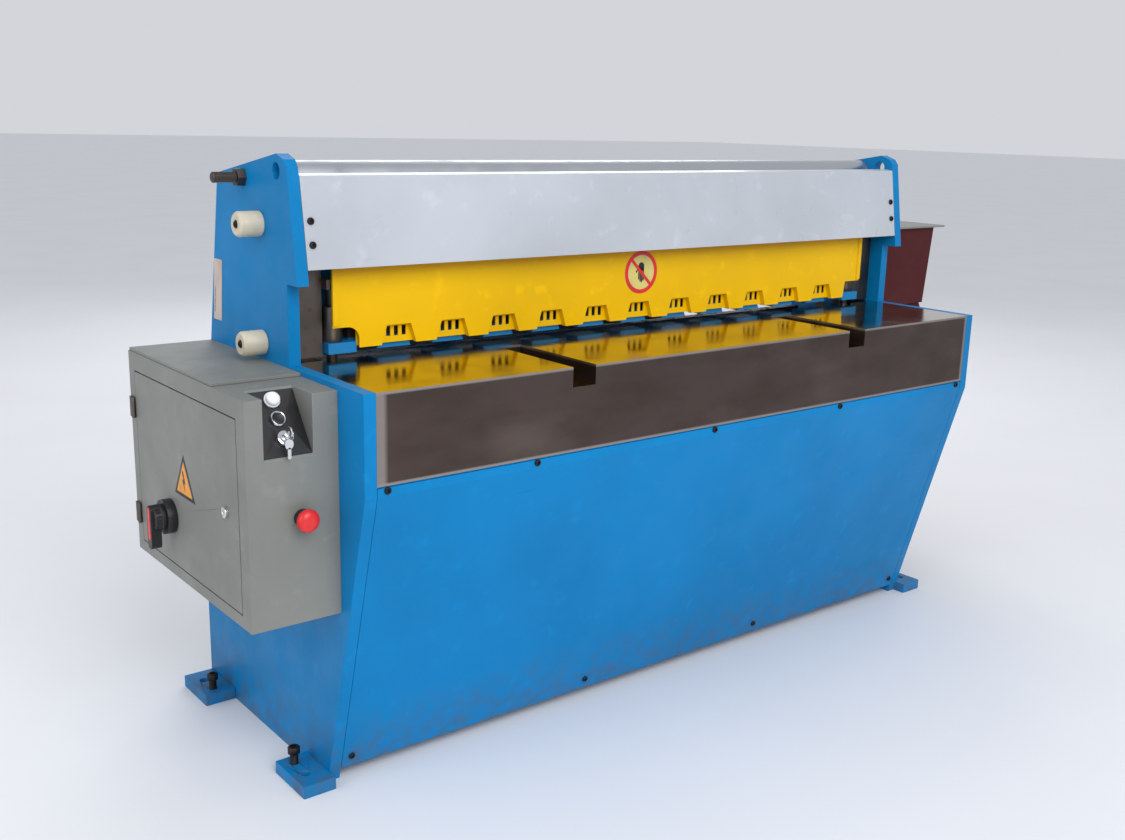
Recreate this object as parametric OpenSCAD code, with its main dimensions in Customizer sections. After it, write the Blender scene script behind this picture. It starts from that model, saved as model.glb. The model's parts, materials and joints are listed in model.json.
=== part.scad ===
// Mechanical guillotine shear for sheet metal: two side frames, a slotted table, a raked moving
// blade driven by an eccentric shaft, a spring hold-down behind a finger guard, a rear gauge, a
// belt and gear drive on the right, and a control cabinet on the left.
// X runs along the cut, the operator stands on the -Y side, Z is up. The origin lies on the
// floor at the centre of the four anchor holes.

/* [Frame] */
// Clear width between the two side frames
inner_w = 1640; // [1620:2:1680]
// Thickness of each side frame plate
plate_t = 23; // [22:0.5:24]
// Height of the table top above the floor
table_h = 766; // [762:1:770]
// Distance from the anchor centre to the table's front face
front_reach = 404; // [398:1:408]

/* [Table] */
// Height of the table's front face
table_face = 161; // [150:1:162]
// Width of each slot across the table top
slot_w = 54; // [20:1:60]
// Depth of each slot
slot_depth = 38; // [15:1:40]

/* [Blades] */
// Length of both blades
blade_len = 1500; // [1400:10:1510]
// Rise of the moving blade from its low end to its high end
blade_rake = 39; // [20:1:40]
// Throw of the eccentrics, half of the ram's stroke
throw = 30; // [26:1:30]

/* [Guard] */
// Number of viewing windows in the finger guard
window_count = 11; // [7:2:11]
// Spacing of the windows
window_pitch = 121.8; // [118:0.2:122]
// Gap between the guard and the table
guard_gap = 19; // [14:1:20]

/* [Anchors] */
// Spacing of the anchor holes along the machine
anchor_x = 1764; // [1764:1:1770]
// Spacing of the anchor holes from front to rear
anchor_y = 474; // [460:1:474]
// Diameter of the anchor holes
anchor_d = 18; // [14:1:20]

/* [Hidden] */
$fn = 64;
xi = inner_w / 2;
xo = xi + plate_t;
front_y = -front_reach;
skin = 3;
fit = 0.05;

// side frame outline, front to rear
knee_z = table_h - 180;
toe_y = -250;
throat_y = -136;
over_z = table_h + 147;
over_y = -176;
slope_z = table_h + 350;
slope_y = -145;
peak_z = table_h + 371;
peak_y = -109;
rear_top_z = table_h + 327;
rear_top_y = 148;
bend_z = 364;
rear_y = 290;

// ram, blades and guides
cut_y = -54;
ram_front = -36;
ram_back = -6;
ram_top = table_h + 300;
leg_in = xi - 52;
leg_out = xi - 8;
blade_h = 60;
blade_open = 10;
blade_low = table_h + blade_open;
gib_z0 = table_h + 4;
gib_z1 = table_h + 284;
slide_gap = 0.5;

// eccentric shaft, sliding blocks and yokes
shaft_y = -21;
shaft_z = 450;
shaft_d = 56;
bush_d = 90;
ecc_r = 60;
block_half = 72;
block_x0 = leg_in;
block_w = 34;
yoke_half_y = block_half + throw + 2;
yoke_half_z = block_half + 7;
yoke_rim = 22;

// gears, flywheel and motor
gear_m = 6;
bull_teeth = 75;
pinion_teeth = 15;
mesh_angle = 45;
centres = gear_m * (bull_teeth + pinion_teeth) / 2;
fly_y = shaft_y + centres * cos(mesh_angle);
fly_z = shaft_z + centres * sin(mesh_angle);
gear_x0 = xo + 12;
gear_w = 50;
fly_x0 = xo + 150;
fly_w = 90;
fly_r = 170;
fly_shaft_d = 45;
motor_y = 420;
motor_z = 300;
pulley_r = 60;
motor_shaft_d = 28;
belt_pitch = 26;

// hold-down and finger guard
guard_y = -124;
guard_half = 749;
guard_z0 = table_h + guard_gap;
window_top = guard_z0 + 37;
inner_y = -112;
pin_x = 735;
pin_y = -92;
pin_d = 20;
pin_seat = 15;
pad_z = table_h + 10;

// rear gauge
arm_x = 560;
arm_z1 = 650;
screw_z = 655;
screw_d = 24;
gauge_y = 44;

// drive guard
guard_x0 = xo;
guard_low_z = 722;
guard_top_z = 936;
guard_front_y = -6;
guard_rear_y = 372;

// cabinet
cab_x0 = -xo - 167;
cab_x1 = -xo;
cab_y0 = -316;
cab_y1 = 211;
cab_z0 = 358;
cab_z1 = 757;
cab_t = 2.5;
door_y0 = -279;
door_y1 = 183;
door_z0 = 382;
door_z1 = 720;
recess_x0 = cab_x0 + 32;
recess_w = 88;
panel_x = recess_x0 + recess_w / 2;
panel_z = 652;
panel_rise = 105;
panel_run = 76;
panel_tilt = atan2(panel_rise, panel_run);
lamp_u = 106;
button_u = 70;
key_u = 34;
device_d = 22;
estop_x = -xo - 71;
estop_z = 547;
isolator_y = 25;
isolator_z = 475;
lock_y = -232;
lock_z = 551;
hinge_y = 187;
hinge_x = cab_x0 - 4;

// colours
blue = [0.04, 0.50, 0.80];
grey_white = [0.73, 0.76, 0.80];
cabinet_grey = [0.57, 0.59, 0.57];
yellow = [0.91, 0.74, 0.02];
steel = [0.42, 0.41, 0.40];
dark_steel = [0.30, 0.28, 0.27];
bright = [0.75, 0.76, 0.78];
black = [0.08, 0.08, 0.09];
cream = [0.85, 0.81, 0.73];
maroon = [0.30, 0.11, 0.12];
bronze = [0.66, 0.48, 0.24];
red = [0.85, 0.12, 0.12];

// ---------- helpers ----------

// Y position of the sloped front of the side frames at height z
function slope_at(z) = over_y + (z - over_z) * (slope_y - over_y) / (slope_z - over_z);

// Y position of the sloped lower front at height z
function toe_at(z) = toe_y + z * (front_y - toe_y) / knee_z;

// height of the moving blade's edge at x
function rake_at(x) = blade_low + (x + blade_len / 2) * blade_rake / blade_len;

function unit(a) = [cos(a), sin(a)];

module box(a, b) {
    translate(a) cube(b - a);
}

// an outline drawn in Y and Z, extruded along X
module along_x(x0, len) {
    translate([x0, 0, 0]) rotate([90, 0, 90]) linear_extrude(len) children();
}

// an outline drawn in X and Z, extruded along Y
module along_y(y0, len) {
    translate([0, y0 + len, 0]) rotate([90, 0, 0]) linear_extrude(len) children();
}

module rod_x(x0, len, d, y, z) {
    translate([x0, y, z]) rotate([0, 90, 0]) cylinder(d = d, h = len);
}

module rod_y(y0, len, d, x, z) {
    translate([x, y0, z]) rotate([-90, 0, 0]) cylinder(d = d, h = len);
}

module tube_x(x0, len, d_out, d_in, y, z) {
    difference() {
        rod_x(x0, len, d_out, y, z);
        rod_x(x0 - 1, len + 2, d_in, y, z);
    }
}

module both_sides() {
    children();
    mirror([1, 0, 0]) children();
}

// outline of a belt or cover that wraps two circles
module wrap(c1, r1, c2, r2) {
    d = norm(c2 - c1);
    base = atan2(c2[1] - c1[1], c2[0] - c1[0]);
    open = acos((r1 - r2) / d);
    tuck = 0.3;
    translate(c1) circle(r = r1);
    translate(c2) circle(r = r2);
    polygon([
        c1 + (r1 - tuck) * unit(base + open),
        c2 + (r2 - tuck) * unit(base + open),
        c2 + (r2 - tuck) * unit(base - open),
        c1 + (r1 - tuck) * unit(base - open)
    ]);
}

// spur gear outline with straight flanks; half widths are at the tip, pitch and root
module gear_outline(teeth, tip, pitch, root, turn) {
    rp = gear_m * teeth / 2;
    ra = rp + 0.9 * gear_m;
    rf = rp - 1.25 * gear_m;
    sides = [[rf, -root], [rp, -pitch], [ra, -tip], [ra, tip], [rp, pitch], [rf, root]];
    polygon([
        for (i = [0:teeth - 1])
            for (s = sides)
                s[0] * unit(turn + i * 360 / teeth + s[1] / s[0] * 180 / PI)
    ]);
}

// outline of a grooved rim, drawn as radius and width
module grooved_rim(r_out, r_in, w) {
    difference() {
        translate([r_in, 0]) square([r_out - r_in, w]);
        for (i = [-1:1])
            translate([r_out, w / 2 + i * belt_pitch])
                polygon([[1, -8], [-14, -5], [-14, 5], [1, 8]]);
    }
}

// places a shape at the control panel's lower edge, its Y up the slope and its Z outward
module on_panel(u) {
    translate([panel_x, cab_y0, panel_z]) rotate([panel_tilt, 0, 0]) translate([0, u, 0])
        children();
}

// ---------- screws for the sheet metal ----------

panel_top_x = [-800, -487, -32, 363, 800];
panel_low_x = [-800, -240, 280, 800];
panel_top_z = knee_z + 11;
panel_low_z = 46;
cover_screw_x = xi - 14;
toe_tilt = -atan2(toe_y - front_y, knee_z);
slope_tilt = atan2(slope_y - over_y, slope_z - over_z);
cap_y = -33;
cap_z = [table_h + 29, table_h + 245];
cap_len = 46;
cap_stem_d = 22;

module screw_shape(tilt, d_head) {
    rotate([90 - tilt, 0, 0]) {
        translate([0, 0, -10]) cylinder(d = 8, h = 10);
        if (d_head > 0) cylinder(d = d_head, h = 4);
    }
}

module sheet_screws(d_head) {
    for (x = panel_top_x) translate([x, front_y, panel_top_z]) screw_shape(0, d_head);
    for (x = panel_low_x)
        translate([x, toe_at(panel_low_z), panel_low_z]) screw_shape(toe_tilt, d_head);
    for (s = [-1, 1])
        for (z = [table_h + 216, table_h + 257])
            translate([s * cover_screw_x, slope_at(z), z]) screw_shape(slope_tilt, d_head);
}

module socket_screws() {
    color(black) {
        sheet_screws(13);
        both_sides() {
            for (z = cap_z) rod_x(xo + cap_len - 6, 8, 13, cap_y, z);
        }
    }
}

// ---------- frames and base ----------

module frame_outline() {
    polygon([
        [toe_y, 0], [front_y, knee_z], [front_y, table_h], [throat_y, table_h],
        [throat_y, over_z], [over_y, over_z], [slope_y, slope_z],
        [slope_y + 10, slope_z + 12], [peak_y, peak_z], [rear_top_y, rear_top_z],
        [rear_y, bend_z], [rear_y, 0]
    ]);
}

module frame_plate() {
    lug_z0 = table_h + 200;
    lug_z1 = table_h + 272;
    lug_gap = skin + 0.3;
    difference() {
        union() {
            along_x(xi, plate_t) frame_outline();
            along_x(xi - 28, 28) polygon([
                [slope_at(lug_z0) + lug_gap, lug_z0], [slope_at(lug_z1) + lug_gap, lug_z1],
                [slope_at(lug_z1) + 12, lug_z1], [slope_at(lug_z0) + 12, lug_z0]
            ]);
        }
        rod_x(xi - 1, plate_t + 2, 30, peak_y + 3, peak_z - 30);
        rod_x(xi - 1, plate_t + 2, 21, 31, table_h + 324);
        rod_x(xi - 1, plate_t + 2, bush_d, shaft_y, shaft_z);
        for (z = cap_z) rod_x(xi - 1, plate_t + 2, cap_stem_d, cap_y, z);
        sheet_screws(0);
    }
}

module left_frame() {
    color(blue) mirror([1, 0, 0]) frame_plate();
}

module right_frame() {
    housing_len = 80;
    color(blue) difference() {
        union() {
            frame_plate();
            rod_x(xi - housing_len, housing_len, 110, fly_y, fly_z);
        }
        rod_x(xi - housing_len - 1, housing_len + plate_t + 2, fly_shaft_d + 2 * fit,
              fly_y, fly_z);
    }
}

foot_w = 65;
foot_len = 118;
foot_t = 24;
jack_offset = 47;
jack_d = 16;

module feet() {
    color(blue) both_sides() {
        for (s = [-1, 1]) difference() {
            translate([xo, s * anchor_y / 2 - foot_len / 2 - s * 14, 0])
                cube([foot_w, foot_len, foot_t]);
            translate([anchor_x / 2, s * anchor_y / 2, -1])
                cylinder(d = anchor_d, h = foot_t + 2);
            translate([anchor_x / 2, s * (anchor_y / 2 - jack_offset), -1])
                cylinder(d = jack_d, h = foot_t + 2);
        }
    }
}

module jack_screws() {
    color(black) both_sides() {
        for (s = [-1, 1]) translate([anchor_x / 2, s * (anchor_y / 2 - jack_offset), 0]) {
            cylinder(d = jack_d, h = foot_t + 22);
            translate([0, 0, foot_t + 20]) cylinder(d = 23, h = 14);
        }
    }
}

module cross_beams() {
    rail_h = 16;
    color(blue) {
        difference() {
            box([-xi, rear_y - 60, 60], [xi, rear_y, 140]);
            box([-xi - 1, rear_y - 54, 66], [xi + 1, rear_y - 6, 134]);
        }
        difference() {
            box([-xi, -190, 30], [xi, -130, 90]);
            box([-xi - 1, -184, 36], [xi + 1, -136, 84]);
        }
        difference() {
            box([-xi, front_y + skin, panel_top_z - rail_h / 2],
                [xi, front_y + 12, panel_top_z + rail_h / 2 - 1]);
            sheet_screws(0);
        }
        difference() {
            along_x(-xi, 2 * xi) polygon([
                [toe_at(34) + skin + 0.2, 34], [toe_at(60) + skin + 0.2, 60],
                [toe_at(60) + 13, 60], [toe_at(34) + 13, 34]
            ]);
            sheet_screws(0);
        }
    }
}

// ---------- table, blades, sheet covers ----------

module table() {
    z0 = table_h - table_face;
    seat_y = cut_y - 25.9;
    slot_x = [-381, 404];
    slot_end = -165;
    half = xi - 0.3;
    color(dark_steel) difference() {
        box([-half, front_y, z0], [half, cut_y - 0.1, table_h]);
        for (i = [-2:1]) {
            bay = half / 2;
            box([i * bay + 10, front_y + 30, z0 - 1],
                [(i + 1) * bay - 10, seat_y - 30, table_h - 50]);
        }
        box([-half - 1, seat_y, table_h - blade_h - 0.1], [half + 1, 0, table_h + 1]);
        for (x = slot_x)
            box([x - slot_w / 2, front_y - 1, table_h - slot_depth],
                [x + slot_w / 2, slot_end, table_h + 1]);
        for (s = [-1, 1])
            translate([s * pin_x, pin_y, table_h - pin_seat])
                cylinder(d = pin_d + 2 * fit, h = pin_seat + 1);
    }
}

module lower_blade() {
    color(bright) box([-blade_len / 2, cut_y - 25.8, table_h - blade_h],
                      [blade_len / 2, cut_y - 0.1, table_h]);
}

module front_panel() {
    z0 = 22;
    z1 = table_h - table_face - 3;
    flange = 25;
    half = xi - 1;
    color(blue) difference() {
        along_x(-half, 2 * half) polygon([
            [front_y, z1], [front_y, knee_z], [toe_at(z0), z0], [toe_at(z0) + flange, z0],
            [toe_at(z0) + flange, z0 + skin], [toe_at(z0 + skin) + skin, z0 + skin],
            [front_y + skin, knee_z], [front_y + skin, z1]
        ]);
        sheet_screws(0);
    }
}

module front_cover() {
    z0 = table_h + 174;
    z1 = table_h + 335;
    lip = 20;
    half = xi - 1;
    color(grey_white) difference() {
        along_x(-half, 2 * half) polygon([
            [slope_at(z0), z0], [slope_at(z1), z1], [slope_at(z1) + lip, z1 + skin],
            [slope_at(z1) + lip, z1], [slope_at(z1) + skin, z1 - skin],
            [slope_at(z0) + skin, z0 + skin], [slope_at(z0) + lip, z0 + skin],
            [slope_at(z0) + lip, z0]
        ]);
        sheet_screws(0);
    }
}

module top_cover() {
    nose_y = -73;
    nose_r = 30;
    nose_z = table_h + 327;
    fall = (peak_z - rear_top_z) / (rear_top_y - peak_y);
    rear = 140;
    top_z = nose_z + nose_r;
    cy = nose_y + nose_r;
    rear_z = top_z - (rear - cy) * fall;
    half = xi - 1;
    steps = [180:-7.5:90];
    color(bright) along_x(-half, 2 * half) polygon(concat(
        [[nose_y, nose_z - 40]],
        [for (t = steps) [cy, nose_z] + nose_r * unit(t)],
        [
            [rear, rear_z], [rear, rear_z - 24], [rear - skin, rear_z - 24],
            [rear - skin, rear_z - skin]
        ],
        [for (t = [90:7.5:180]) [cy, nose_z] + (nose_r - skin) * unit(t)],
        [[nose_y + skin, nose_z - 40]]
    ));
}

// ---------- finger guard ----------

window_low = 76;
window_high = 52;
window_rows = [for (i = [0:window_count - 1]) (i - (window_count - 1) / 2) * window_pitch];

module window_outline(x, extra) {
    low = window_low / 2 + extra;
    high = window_high / 2 + extra;
    z0 = guard_z0 - 0.1 - extra;
    z1 = window_top + extra;
    polygon([[x - low, z0], [x - high, z1], [x + high, z1], [x + low, z0]]);
}

module guard_front() {
    top = table_h + 234;
    notch_in = 694;
    notch_r = 24;
    notch_z = guard_z0 + 40;
    color(yellow) {
        along_y(guard_y, skin) difference() {
            translate([-guard_half, guard_z0]) square([2 * guard_half, top - guard_z0]);
            for (x = window_rows) window_outline(x, 0);
            translate([-guard_half - 1, guard_z0 - 1])
                square([guard_half - notch_in + 1 - notch_r, notch_z - guard_z0 + 1]);
            translate([-guard_half - 1, guard_z0 - 1])
                square([guard_half - notch_in + 1, notch_z - guard_z0 + 1 - notch_r]);
            translate([-notch_in - notch_r, notch_z - notch_r]) circle(r = notch_r);
            polygon([
                [notch_in - 4, guard_z0 - 1], [notch_in + 2, notch_z],
                [guard_half + 1, notch_z], [guard_half + 1, guard_z0 - 1]
            ]);
        }
        for (s = [-1, 1]) box([s * (guard_half - 6) - 6, guard_y - skin, notch_z + 4],
                              [s * (guard_half - 6) + 6, guard_y, top]);
        along_y(guard_y + skin, inner_y - guard_y - skin) for (x = window_rows) difference() {
            window_outline(x, 2);
            window_outline(x, 0);
            translate([x - window_low, guard_z0 - 10]) square([2 * window_low, 10]);
        }
    }
}

module guard_inner() {
    low = guard_z0 + 2;
    half = 695;
    slot = [9, 19];
    color(yellow) along_y(inner_y, 2) difference() {
        translate([-half, low]) square([2 * half, 112]);
        for (x = window_rows)
            for (i = [-1:1])
                translate([x + i * 17 - slot[0] / 2, low + 12]) square(slot);
    }
}

module guard_brackets() {
    z0 = table_h + 70;
    color(dark_steel) both_sides() {
        box([guard_half - 12, guard_y + skin, table_h + 182],
            [guard_half + 26, -98, table_h + 220]);
        difference() {
            box([pin_x - 22, guard_y + skin + 2, z0 + 60], [guard_half + 8, -70, z0 + 78]);
            translate([pin_x, pin_y, 0]) cylinder(d = pin_d, h = 2000);
        }
        translate([pin_x, pin_y, table_h - pin_seat])
            cylinder(d = pin_d, h = z0 + 78 - table_h + pin_seat);
    }
}

module safety_sign() {
    color(red) rod_y(guard_y - 1, 1, 94, 0, table_h + 121);
}

// ---------- hold-down ----------

lug_h = 20;

module hold_down_beam() {
    color(blue) difference() {
        union() {
            along_y(-104, 42) for (x = window_rows) polygon([
                [x - 37, pad_z], [x - 30, pad_z + 18], [x + 30, pad_z + 18], [x + 37, pad_z]
            ]);
            box([-700, -90, pad_z + 16], [700, -62, table_h + 124]);
            both_sides() {
                box([pin_x - 38, pin_y - 26, pad_z], [pin_x + 20, -62, pad_z + lug_h]);
            }
        }
        both_sides() {
            translate([pin_x, pin_y, 0]) cylinder(d = pin_d + 2 * fit, h = 2000);
        }
    }
}

module hold_down_sleeves() {
    color(steel) both_sides() {
        translate([pin_x, pin_y, pad_z + lug_h]) difference() {
            cylinder(d = 40, h = 66);
            translate([0, 0, -1]) cylinder(d = pin_d + 2 * fit, h = 100);
        }
    }
}

// ---------- ram and guides ----------

module ram() {
    edge = 4;
    rib_x = [-600, -300, 0, 300, 600];
    color(blue) {
        along_y(ram_front, ram_back - ram_front) polygon([
            [-leg_in - 1, rake_at(-leg_in) + edge], [leg_in + 1, rake_at(leg_in) + edge],
            [leg_in + 1, ram_top], [-leg_in - 1, ram_top]
        ]);
        box([-leg_in, ram_back - 1, ram_top - 16], [leg_in, ram_back + 30, ram_top]);
        box([-leg_in, ram_back - 1, table_h + 114], [leg_in, ram_back + 30, table_h + 130]);
        for (x = rib_x)
            box([x - 7, ram_back - 1, table_h + 124], [x + 7, ram_back + 30, ram_top - 10]);
        both_sides() {
            box([leg_in, ram_front, shaft_z + throw + yoke_half_z + 2],
                [leg_out, ram_back, ram_top]);
            along_x(block_x0, block_w) translate([shaft_y, shaft_z + throw]) difference() {
                square([2 * (yoke_half_y + yoke_rim), 2 * (yoke_half_z + yoke_rim)],
                       center = true);
                square([2 * yoke_half_y, 2 * yoke_half_z], center = true);
            }
        }
    }
}

module upper_blade() {
    half = blade_len / 2;
    color(bright) along_y(cut_y + 0.2, ram_front - cut_y - 0.2) polygon([
        [-half, rake_at(-half)], [half, rake_at(half)],
        [half, rake_at(half) + blade_h], [-half, rake_at(-half) + blade_h]
    ]);
}

module front_gibs() {
    color(steel) both_sides() difference() {
        box([xi - 63, -98, gib_z0], [xi, ram_front - slide_gap, gib_z1]);
        for (z = cap_z) rod_x(leg_out, xo - leg_out, cap_stem_d + 2 * fit, cap_y, z);
    }
}

module rear_gibs() {
    color(steel) both_sides() {
        box([xi - 50, ram_back + slide_gap, gib_z0], [xi, 30, gib_z1]);
    }
}

module gib_caps() {
    color(cream) both_sides() {
        for (z = cap_z) difference() {
            union() {
                rod_x(xo, cap_len - 4, 46, cap_y, z);
                translate([xo + cap_len - 4, cap_y, z]) rotate([0, 90, 0])
                    cylinder(d1 = 46, d2 = 38, h = 4);
                rod_x(leg_out + slide_gap, xo - leg_out - slide_gap + 1, cap_stem_d, cap_y, z);
            }
            rod_x(xo + cap_len - 6, 10, 13, cap_y, z);
        }
    }
}

rod_z = table_h + 324;
rod_y0 = 31;

module tie_rod() {
    end_x = xo + 60;
    color(dark_steel) rod_x(-end_x, 2 * end_x, 20, rod_y0, rod_z);
}

module tie_rod_nuts() {
    color(dark_steel) both_sides() {
        for (x = [xo, xi - 16]) difference() {
            translate([x, rod_y0, rod_z]) rotate([0, 90, 0]) rotate(30)
                cylinder(d = 34.6, h = 16, $fn = 6);
            rod_x(x - 1, 18, 20, rod_y0, rod_z);
        }
    }
}

module side_label() {
    color(cream) along_x(-xo - 1.2, 1.2) polygon([
        [141, table_h + 162], [177, table_h + 162], [190, table_h + 42], [154, table_h + 42]
    ]);
}

// ---------- drive ----------

module eccentric_shaft() {
    color(steel) {
        rod_x(3 - xo, 2 * xo + 79, shaft_d, shaft_y, shaft_z);
        rod_x(gear_x0 + gear_w + 2, 18, 88, shaft_y, shaft_z);
        both_sides() {
            rod_x(block_x0 - 3, block_w + 6, 2 * ecc_r, shaft_y, shaft_z + throw);
        }
    }
}

module shaft_bushes() {
    color(bronze) both_sides() {
        tube_x(xi - 3, plate_t + 3, bush_d, shaft_d + 2 * fit, shaft_y, shaft_z);
    }
}

module slide_block() {
    color(bronze) difference() {
        along_x(block_x0, block_w) translate([shaft_y, shaft_z + throw])
            square(2 * block_half, center = true);
        rod_x(block_x0 - 1, block_w + 2, 2 * ecc_r + 2 * fit, shaft_y, shaft_z + throw);
    }
}

module left_block() {
    mirror([1, 0, 0]) slide_block();
}

module right_block() {
    slide_block();
}

module bull_gear() {
    color(steel) difference() {
        along_x(gear_x0, gear_w) translate([shaft_y, shaft_z])
            gear_outline(bull_teeth, 2, 3.9, 6.4, mesh_angle);
        rod_x(gear_x0 - 1, gear_w + 2, shaft_d + 2 * fit, shaft_y, shaft_z);
        for (i = [0:5]) {
            a = i * 60;
            rod_x(gear_x0 - 1, gear_w + 2, 80, shaft_y + 130 * cos(a), shaft_z + 130 * sin(a));
        }
    }
}

module pinion_shaft() {
    color(steel) {
        rod_x(xi - 84, fly_x0 + fly_w + 12 - xi + 84, fly_shaft_d, fly_y, fly_z);
        along_x(gear_x0, gear_w) translate([fly_y, fly_z])
            gear_outline(pinion_teeth, 1.6, 3.7, 4.4, mesh_angle + 180 + 180 / pinion_teeth);
    }
}

module flywheel() {
    rim_in = fly_r - 35;
    hole_r = 94;
    hole_d = 50;
    web = 18;
    color(dark_steel) difference() {
        translate([fly_x0, fly_y, fly_z]) rotate([0, 90, 0]) {
            rotate_extrude($fn = 96) {
                grooved_rim(fly_r, rim_in, fly_w);
                translate([fly_shaft_d / 2, 0]) square([30, fly_w]);
                translate([40, fly_w / 2 - web / 2]) square([rim_in - 35, web]);
            }
        }
        for (i = [0:5]) {
            a = i * 60;
            rod_x(fly_x0, fly_w, hole_d, fly_y + hole_r * cos(a), fly_z + hole_r * sin(a));
        }
    }
}

motor_x0 = xo - 210;
motor_len = 310;

module motor() {
    body_d = 176;
    color(steel) difference() {
        union() {
            rod_x(motor_x0, motor_len, body_d, motor_y, motor_z);
            rod_x(motor_x0, 26, body_d + 14, motor_y, motor_z);
            rod_x(motor_x0 + motor_len - 22, 22, body_d + 14, motor_y, motor_z);
            for (i = [0:17]) {
                translate([motor_x0 + 40, motor_y, motor_z]) rotate([i * 20, 0, 0])
                    translate([0, -2, 0]) cube([motor_len - 80, 4, body_d / 2 + 8]);
            }
            box([motor_x0 + 90, motor_y - 40, motor_z + 70],
                [motor_x0 + 190, motor_y + 40, motor_z + 130]);
            for (s = [-1, 1])
                box([motor_x0 + 60, motor_y + s * 62 - 20, motor_z - 100],
                    [motor_x0 + 240, motor_y + s * 62 + 20, motor_z - 50]);
        }
        rod_x(motor_x0 + motor_len - 60, 80, motor_shaft_d + 2 * fit, motor_y, motor_z);
    }
}

module motor_pulley() {
    pulley_x0 = fly_x0;
    color(dark_steel) {
        translate([pulley_x0, motor_y, motor_z]) rotate([0, 90, 0])
            rotate_extrude() {
                grooved_rim(pulley_r, 10, fly_w);
            }
        rod_x(motor_x0 + motor_len - 58, pulley_x0 + fly_w - motor_x0 - motor_len + 58,
              motor_shaft_d, motor_y, motor_z);
    }
}

module motor_bracket() {
    plate_z = motor_z - 112;
    color(blue) {
        box([motor_x0 + 20, rear_y, plate_z], [motor_x0 + 280, motor_y + 100, plate_z + 12]);
        box([motor_x0 + 20, rear_y, 60], [xo, rear_y + 12, plate_z + 12]);
        for (x = [motor_x0 + 20, motor_x0 + 238])
            along_x(x, 12) polygon([
                [rear_y + 10, 60], [rear_y + 10, plate_z + 2], [motor_y + 90, plate_z + 2],
                [motor_y + 90, plate_z - 20]
            ]);
    }
}

module belts() {
    fly = [fly_y, fly_z];
    mot = [motor_y, motor_z];
    belt_w = 9.6;
    color(black) for (i = [-1:1])
        along_x(fly_x0 + fly_w / 2 + i * belt_pitch - belt_w / 2, belt_w) difference() {
            wrap(fly, fly_r - 2, mot, pulley_r - 2);
            wrap(fly, fly_r - 13, mot, pulley_r - 13);
        }
}

// ---------- drive guard ----------

guard_out_low = xo + 352;
guard_out_top = xo + 375;
guard_lap = 6;
lid_side = 32;
lid_front = 14;
belt_room = 14;
gear_room = 13;
pinion_room = 64;

module belt_cover_shell() {
    fly = [fly_y, fly_z];
    mot = [motor_y, motor_z];
    x0 = fly_x0 - 15;
    x1 = guard_out_low - skin / 2;
    difference() {
        along_x(x0, x1 - x0) intersection() {
            wrap(fly, fly_r + belt_room, mot, pulley_r + belt_room);
            translate([-500, 0]) square([1400, guard_low_z + guard_lap]);
        }
        along_x(x0 - 1, x1 - x0 - skin + 1)
            wrap(fly, fly_r + belt_room - skin, mot, pulley_r + belt_room - skin);
    }
}

module gear_cover() {
    bull = [shaft_y, shaft_z];
    pin = [fly_y, fly_z];
    bull_r = gear_m * bull_teeth / 2 + gear_room;
    len = gear_x0 + gear_w + 7 - xo;
    color(maroon) difference() {
        along_x(xo, len) wrap(bull, bull_r, pin, pinion_room);
        along_x(xo - 1, len - skin + 1) wrap(bull, bull_r - skin, pin, pinion_room - skin);
        rod_x(xo, 100, 96, shaft_y, shaft_z);
        rod_x(xo, 100, 60, fly_y, fly_z);
    }
}

module drive_guard() {
    color(maroon) {
        difference() {
            along_y(guard_front_y, guard_rear_y - guard_front_y) polygon([
                [guard_x0, guard_low_z], [guard_out_low, guard_low_z],
                [guard_out_top, guard_top_z], [guard_x0, guard_top_z]
            ]);
            along_y(guard_front_y + skin, guard_rear_y - guard_front_y - 2 * skin) polygon([
                [guard_x0 + skin, guard_low_z - 1], [guard_out_low - skin, guard_low_z - 1],
                [guard_out_top - skin, guard_top_z + 1], [guard_x0 + skin, guard_top_z + 1]
            ]);
        }
        belt_cover_shell();
    }
}

module guard_lid() {
    color(cabinet_grey) box([guard_x0, guard_front_y - lid_front, guard_top_z],
                            [guard_out_top + lid_side, guard_rear_y + lid_front, guard_top_z + 5]);
}

// ---------- rear gauge ----------

module gauge_arms() {
    end_y = 440;
    color(steel) difference() {
        union() {
            both_sides() {
                box([arm_x - 15, cut_y, arm_z1 - 42], [arm_x + 15, end_y, arm_z1]);
            }
            box([-arm_x - 30, end_y, arm_z1 - 50], [arm_x + 30, end_y + 12, screw_z + 30]);
            box([-30, cut_y, screw_z - 26], [30, cut_y + 20, screw_z + 22]);
        }
        rod_y(cut_y - 1, end_y + 100, screw_d + 2 * fit, 0, screw_z);
    }
}

module lead_screw() {
    color(bright) {
        rod_y(cut_y + 2, 530, screw_d, 0, screw_z);
        rod_y(cut_y + 22, 6, screw_d + 12, 0, screw_z);
    }
}

module handwheel() {
    wheel_y = 456;
    rim_r = 84;
    color(black) difference() {
        union() {
            translate([0, wheel_y + 10, screw_z]) rotate([-90, 0, 0])
                rotate_extrude($fn = 96) translate([rim_r, 0]) circle(d = 16, $fn = 32);
            rod_y(wheel_y, 20, 44, 0, screw_z);
            for (i = [0:2])
                translate([0, wheel_y + 10, screw_z]) rotate([0, i * 120, 0])
                    cylinder(d = 12, h = rim_r);
            rod_y(wheel_y + 10, 44, 16, rim_r, screw_z);
        }
        rod_y(wheel_y - 1, 22, screw_d, 0, screw_z);
    }
}

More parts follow.
